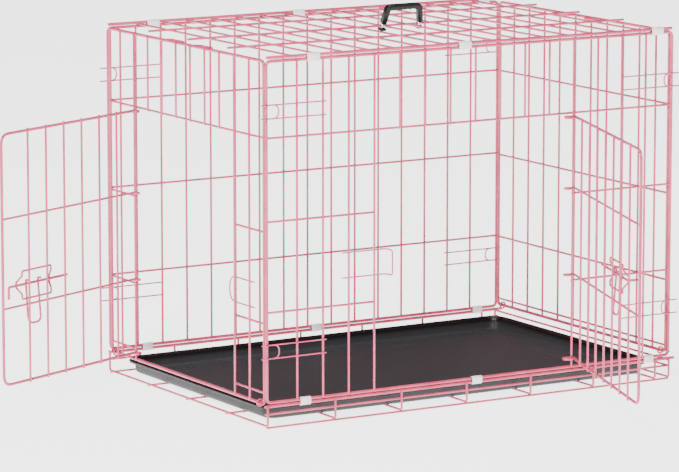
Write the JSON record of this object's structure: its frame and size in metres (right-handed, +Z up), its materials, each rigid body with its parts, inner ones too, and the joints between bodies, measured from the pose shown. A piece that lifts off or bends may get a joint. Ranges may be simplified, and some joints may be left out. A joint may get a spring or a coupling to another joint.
{
  "type": "wire dog crate",
  "caption": "Folding wire dog crate with an end door, a front door, slide-bolt latches, a slide-out floor tray and a carry handle.",
  "frame": {"origin": "plan centre of the crate, on the surface it stands on", "axes": "+X along the crate's length, away from the end door; +Y from the front door's side to the back; +Z up"},
  "size_m": [0.8696, 0.7125, 0.4957],
  "materials": {
    "powder_coat": "glossy pastel powder coat over steel wire",
    "tray_plastic": "moulded, slightly sheened",
    "clip_plastic": "smooth white",
    "handle_plastic": "moulded, satin",
    "strap_steel": "bent strip, dull"
  },
  "bodies": {
    "shell": {"base_floor_grid": "powder_coat", "base_front_rails": "powder_coat", "base_back_rails": "powder_coat", "base_end_rails": "powder_coat", "front_panel": "powder_coat", "back_panel": "powder_coat", "top_panel": "powder_coat", "clip_front_bottom_left": "clip_plastic", "clip_front_bottom_mid": "clip_plastic", "clip_front_bottom_right": "clip_plastic", "clip_front_top_left": "clip_plastic", "clip_front_top_mid": "clip_plastic", "clip_front_top_right": "clip_plastic", "clip_back_bottom_left": "clip_plastic", "clip_back_bottom_mid": "clip_plastic", "clip_back_bottom_right": "clip_plastic", "clip_back_top_left": "clip_plastic", "clip_back_top_mid": "clip_plastic", "clip_back_top_right": "clip_plastic", "corner_loop_front_left_lower": "powder_coat", "corner_loop_front_left_upper": "powder_coat", "corner_loop_front_right_lower": "powder_coat", "corner_loop_front_right_upper": "powder_coat", "corner_loop_back_left_lower": "powder_coat", "corner_loop_back_left_upper": "powder_coat", "corner_loop_back_right_lower": "powder_coat", "corner_loop_back_right_upper": "powder_coat", "front_strike_loop": "powder_coat", "pivot_eye_front_left": "powder_coat", "pivot_eye_front_right": "powder_coat", "pivot_eye_back_left": "powder_coat", "pivot_eye_back_right": "powder_coat"},
    "floor_tray": {"tray": "tray_plastic"},
    "left_end": {"left_end_panel": "powder_coat", "end_strike_loop": "powder_coat", "top_hook_front_left": "powder_coat", "top_hook_back_left": "powder_coat"},
    "right_end": {"right_end_panel": "powder_coat", "top_hook_front_right": "powder_coat", "top_hook_back_right": "powder_coat"},
    "end_gate": {"end_door": "powder_coat", "end_door_latch_keeper": "powder_coat"},
    "front_gate": {"front_door": "powder_coat", "front_door_latch_keeper": "powder_coat"},
    "end_bolt": {"end_door_latch_bolt": "powder_coat"},
    "front_bolt": {"front_door_latch_bolt": "powder_coat"},
    "end_loop": {"end_door_latch_finger_loop": "powder_coat"},
    "front_loop": {"front_door_latch_finger_loop": "powder_coat"},
    "carry_handle": {"handle_grip": "handle_plastic", "handle_strap_left": "strap_steel", "handle_strap_right": "strap_steel", "handle_pad_left": "handle_plastic", "handle_pad_right": "handle_plastic"}
  },
  "joints": [
    {"name": "tray_slide", "type": "slide", "parent": "shell", "child": "floor_tray", "axis": [-1, 0, 0], "range_m": [0, 0.6]},
    {"name": "left_end_fold", "type": "hinge", "parent": "shell", "child": "left_end", "pos_m": [-0.305, 0, 0.031], "axis": [0, -1, 0], "range_deg": [-90, 0]},
    {"name": "right_end_fold", "type": "hinge", "parent": "shell", "child": "right_end", "pos_m": [0.305, 0, 0.0366], "axis": [0, 1, 0], "range_deg": [-85, 0]},
    {"name": "end_door_hinge", "type": "hinge", "parent": "left_end", "child": "end_gate", "pos_m": [-0.3073, 0.13125, 0.2], "axis": [0, 0, -1], "range_deg": [-66, 94]},
    {"name": "front_door_hinge", "type": "hinge", "parent": "shell", "child": "front_gate", "pos_m": [0.15, -0.2095, 0.2], "axis": [0, 0, 1], "range_deg": [-71, 89]},
    {"name": "end_bolt_slide", "type": "slide", "parent": "end_gate", "child": "end_bolt", "axis": [-0.9135, -0.4067, 0], "range_m": [-0.0145, 0.0135]},
    {"name": "front_bolt_slide", "type": "slide", "parent": "front_gate", "child": "front_bolt", "axis": [-0.3256, -0.9455, 0], "range_m": [0, 0.026]},
    {"name": "end_loop_lift", "type": "hinge", "parent": "end_bolt", "child": "end_loop", "pos_m": [-0.4931, 0.0568, 0.1635], "axis": [0.9135, 0.4067, 0], "range_deg": [0, 100]},
    {"name": "front_loop_lift", "type": "hinge", "parent": "front_bolt", "child": "front_loop", "pos_m": [0.0975, -0.385, 0.1875], "axis": [-0.3256, -0.9455, 0], "range_deg": [0, 100]},
    {"name": "handle_fold", "type": "hinge", "parent": "shell", "child": "carry_handle", "pos_m": [0.01875, 0, 0.467], "axis": [1, 0, 0], "range_deg": [-93, 63]}
  ]
}
